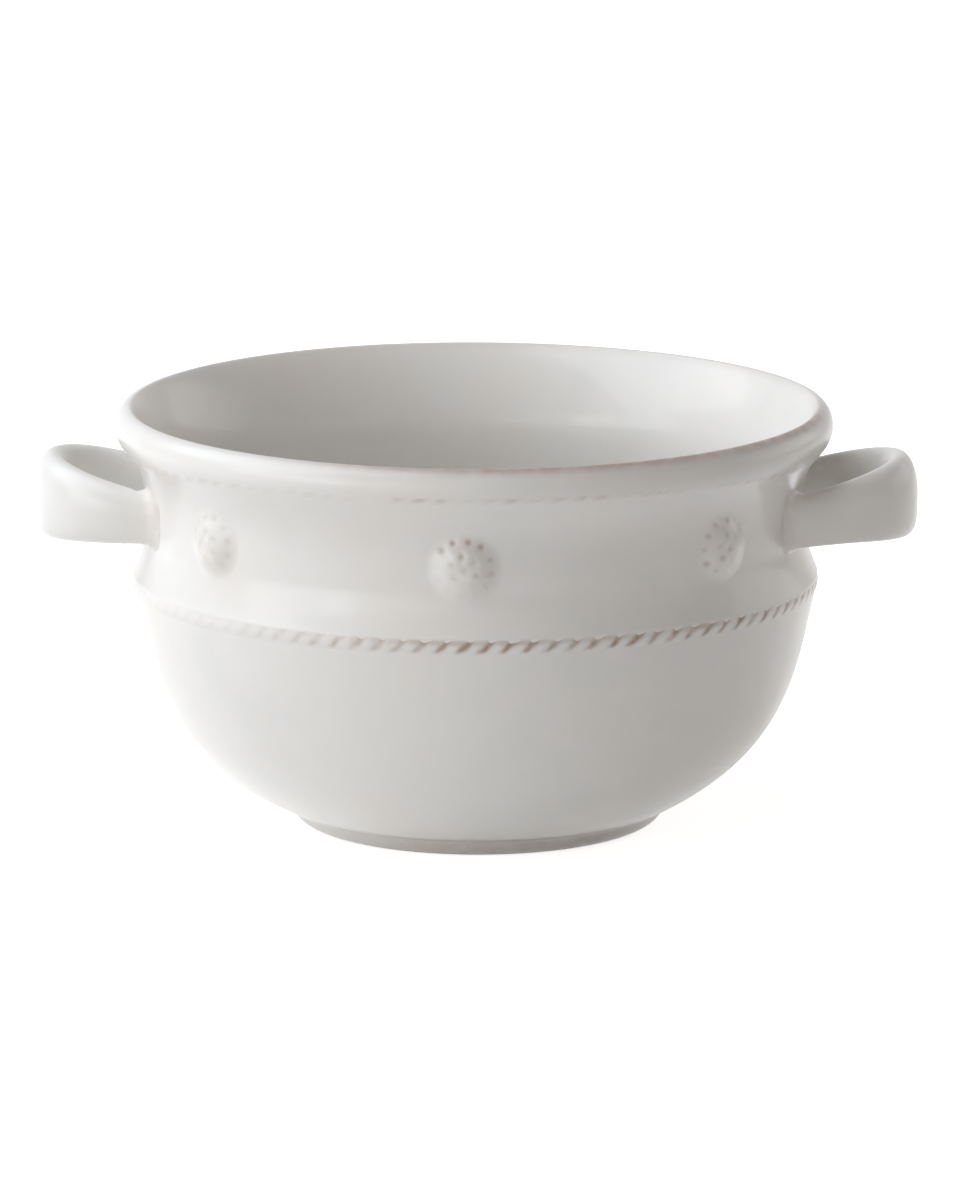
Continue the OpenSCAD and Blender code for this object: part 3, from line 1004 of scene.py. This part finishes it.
def root_place(side, away, spread, sag, arch):
    """Where the section goes in a root, away from the wall and spread by the slip."""
    def place(c, s):
        thick, tall = section(c, s)
        y = side * (LUG_HALF + (STRAP_T / 2 + spread) * thick)
        z = strap_z(tall, NECK_R, sag, arch, SLIP_UP_SHARE * spread)
        return Vector((math.sqrt(wall_r(z) ** 2 - y * y) + away, y, z))
    return place


def strap_places(sag, arch, short):
    """The rings of a handle in order, from one root round to the other."""
    slip = [math.pi / 2 * i / SLIP_STEPS for i in range(SLIP_STEPS + 1)]
    root = [(SLIP_R * (1 - math.sin(a)), SLIP_R * (1 - math.cos(a))) for a in reversed(slip)]
    root = [(-BURIED, SLIP_R * BURIED_SHARE), (-SLIP_SUNK, SLIP_R)] + root[1:]
    turns = [math.pi * (i / STRAP_TURNS - 0.5) for i in range(1, STRAP_TURNS)]
    places = [root_place(-1, away, spread, sag, arch) for away, spread in root]
    places += [turn_place(angle, sag, arch, short) for angle in turns]
    places += [root_place(1, away, spread, sag, arch) for away, spread in reversed(root)]
    return places


print("rings in a handle:", len(strap_places(0, 0, 0)))

# %% [markdown]
# ## The handles
# A curve with a bevel could follow the path, but its section can't change on the way. So circles
# are laid down one by one, moved into the section's shape at their place, and each is bridged to
# the one before. The ends are filled. Near the roots the vertices carry a hollow value of painted
# shade, so the wash tone darkens the crease where the strap meets the wall. The left handle is
# made on the right and mirrored.

# %% Pull the handles
STRAP_POINTS = 40
# Painted shade at the handles' roots: how dark it gets and over how many rings it fades.
HANDLE_ROOT_SHADE_SHARE = 0.45
HANDLE_ROOT_SHADE_RINGS = 9


def strap(name, node, sag, arch, short):
    """A handle, bridged from ring to ring."""
    places = strap_places(sag, arch, short)
    bm = bmesh.new()
    handle_root_shade = bm.verts.layers.float.new("hollow")
    last = None
    for number, place in enumerate(places):
        from_root = min(number, len(places) - 1 - number)
        ring_verts = bmesh.ops.create_circle(bm, segments=STRAP_POINTS, radius=1.0)["verts"]
        for vert in ring_verts:
            vert.co = place(vert.co.x, vert.co.y)
            # Painted shade: the rings nearest each root darken towards the wall in the wash tone.
            vert[handle_root_shade] = HANDLE_ROOT_SHADE_SHARE * smooth(HANDLE_ROOT_SHADE_RINGS, 1, from_root)
        ring_edges = list({edge for vert in ring_verts for edge in vert.link_edges})
        if last:
            bmesh.ops.bridge_loops(bm, edges=last + ring_edges)
        last = ring_edges
    bmesh.ops.holes_fill(bm, edges=[e for e in bm.edges if e.is_boundary], sides=STRAP_POINTS)
    if name == "left_handle":
        bmesh.ops.scale(bm, vec=(-1, 1, 1), verts=bm.verts)
    piece(bm, name, node, body_glaze)


for name, (node, sag, arch, short) in HANDLES.items():
    strap(name, node, sag, arch, short)

# %% [markdown]
# ## Lamps
# The picture was lit by one large soft light high on the left, so the left of the bowl is bright
# and its right side grey. Three low strips, two on the left and a weak one on the right, fill its
# lower half, and one behind on the right lightens its right edge. An area lamp is soft in the
# same way as a photographer's softbox. Each is given by its turn from the front and its rise, in
# degrees, and then faces the bowl.

# %% Light the studio
LAMP_DISTANCE = 1.7
COOL, PLAIN = (0.95, 1.0, 1.09), (1.0, 1.0, 1.0)


def lamp(name, turn, rise, width, height, watts, colour):
    """A soft light, turned and raised that many degrees from the front and facing the bowl."""
    data = bpy.data.lights.new(name, "AREA")
    data.shape = "RECTANGLE"
    data.size = width
    data.size_y = height
    data.energy = watts
    data.color = colour
    turn, rise = math.radians(turn), math.radians(rise)
    towards = Vector((math.sin(turn) * math.cos(rise), -math.cos(turn) * math.cos(rise),
                      math.sin(rise)))
    made = bpy.data.objects.new(name, data)
    made.location = AXIS_POINT + towards * LAMP_DISTANCE
    made.rotation_euler = towards.to_track_quat("Z", "Y").to_euler()
    bpy.context.scene.collection.objects.link(made)


lamp("high_left", -90, 50, 1.9, 1.9, 27.5, COOL)
lamp("low_left", -60, 10, 1.3, 0.55, 5.2, PLAIN)
lamp("low_front", -30, 10, 1.3, 0.55, 3.1, PLAIN)
lamp("low_right", 60, 8, 1.3, 0.5, 1.4, PLAIN)
lamp("behind_right", 120, 15, 1.3, 0.7, 3.0, PLAIN)
print("lamps:", [light.name for light in bpy.data.lights])

# %% [markdown]
# ## A white room
# The room behind the bowl is pure white in the picture. Lighting it that bright would wash out
# the glaze, so the world is white only to the rays that see it: from the camera, in a reflection
# or through glass. The light that it sheds on things stays low and a little warm.

# %% Make the world
WORLD_LEVEL = 0.14
WORLD_TINT = (1.0, 0.85, 0.7, 1)
WHITE = (1, 1, 1, 1)


def seen_share(tree):
    """1 for camera, glossy and transmission rays, 0 for the light that falls on things."""
    path = put(tree, "ShaderNodeLightPath").outputs
    total = sums(tree, "ADD", path["Is Camera Ray"], path["Is Glossy Ray"])
    return sums(tree, "ADD", total, path["Is Transmission Ray"], True)


world = bpy.data.worlds.new("studio")
world.use_nodes = True
bpy.context.scene.world = world
tree = world.node_tree
sky = tree.nodes["Background"]
seen = seen_share(tree)
tree.links.new(stretch_to(tree, seen, 0.0, 1.0, WORLD_LEVEL, 1.0), sky.inputs["Strength"])
tree.links.new(blend_colour(tree, seen, WORLD_TINT, WHITE), sky.inputs["Color"])
print("the world sheds", WORLD_LEVEL, "of what it shows")

# %% [markdown]
# ## The floor
# A sheet of white paper lies under the bowl. It takes the lamps' light and the bowl's shadow as
# paper does, and a glow that only the camera and the reflections see lifts it to the same white
# as the room.

# %% Lay the floor
FLOOR_SIZE = 8.0
FLOOR_GLOW = 0.8
PAPER = (0.8, 0.795, 0.785, 1)
PAPER_ROUGH = 0.9

bm = bmesh.new()
bmesh.ops.create_grid(bm, x_segments=1, y_segments=1, size=FLOOR_SIZE / 2)
mesh = bpy.data.meshes.new("floor")
bm.to_mesh(mesh)
bm.free()
floor = bpy.data.objects.new("floor", mesh)
bpy.context.scene.collection.objects.link(floor)

paper = bpy.data.materials.new("white_paper")
paper.use_nodes = True
tree = paper.node_tree
shader = tree.nodes["Principled BSDF"]
shader.inputs["Base Color"].default_value = PAPER
shader.inputs["Roughness"].default_value = PAPER_ROUGH
shader.inputs["Emission Color"].default_value = WHITE
tree.links.new(sums(tree, "MULTIPLY", seen_share(tree), FLOOR_GLOW),
               shader.inputs["Emission Strength"])
mesh.materials.append(paper)
print("floor", FLOOR_SIZE, "m wide")

# %% [markdown]
# ## The view
# The plain Standard view keeps the whites as they were set.

# %% Set the view
bpy.context.scene.view_settings.view_transform = "Standard"
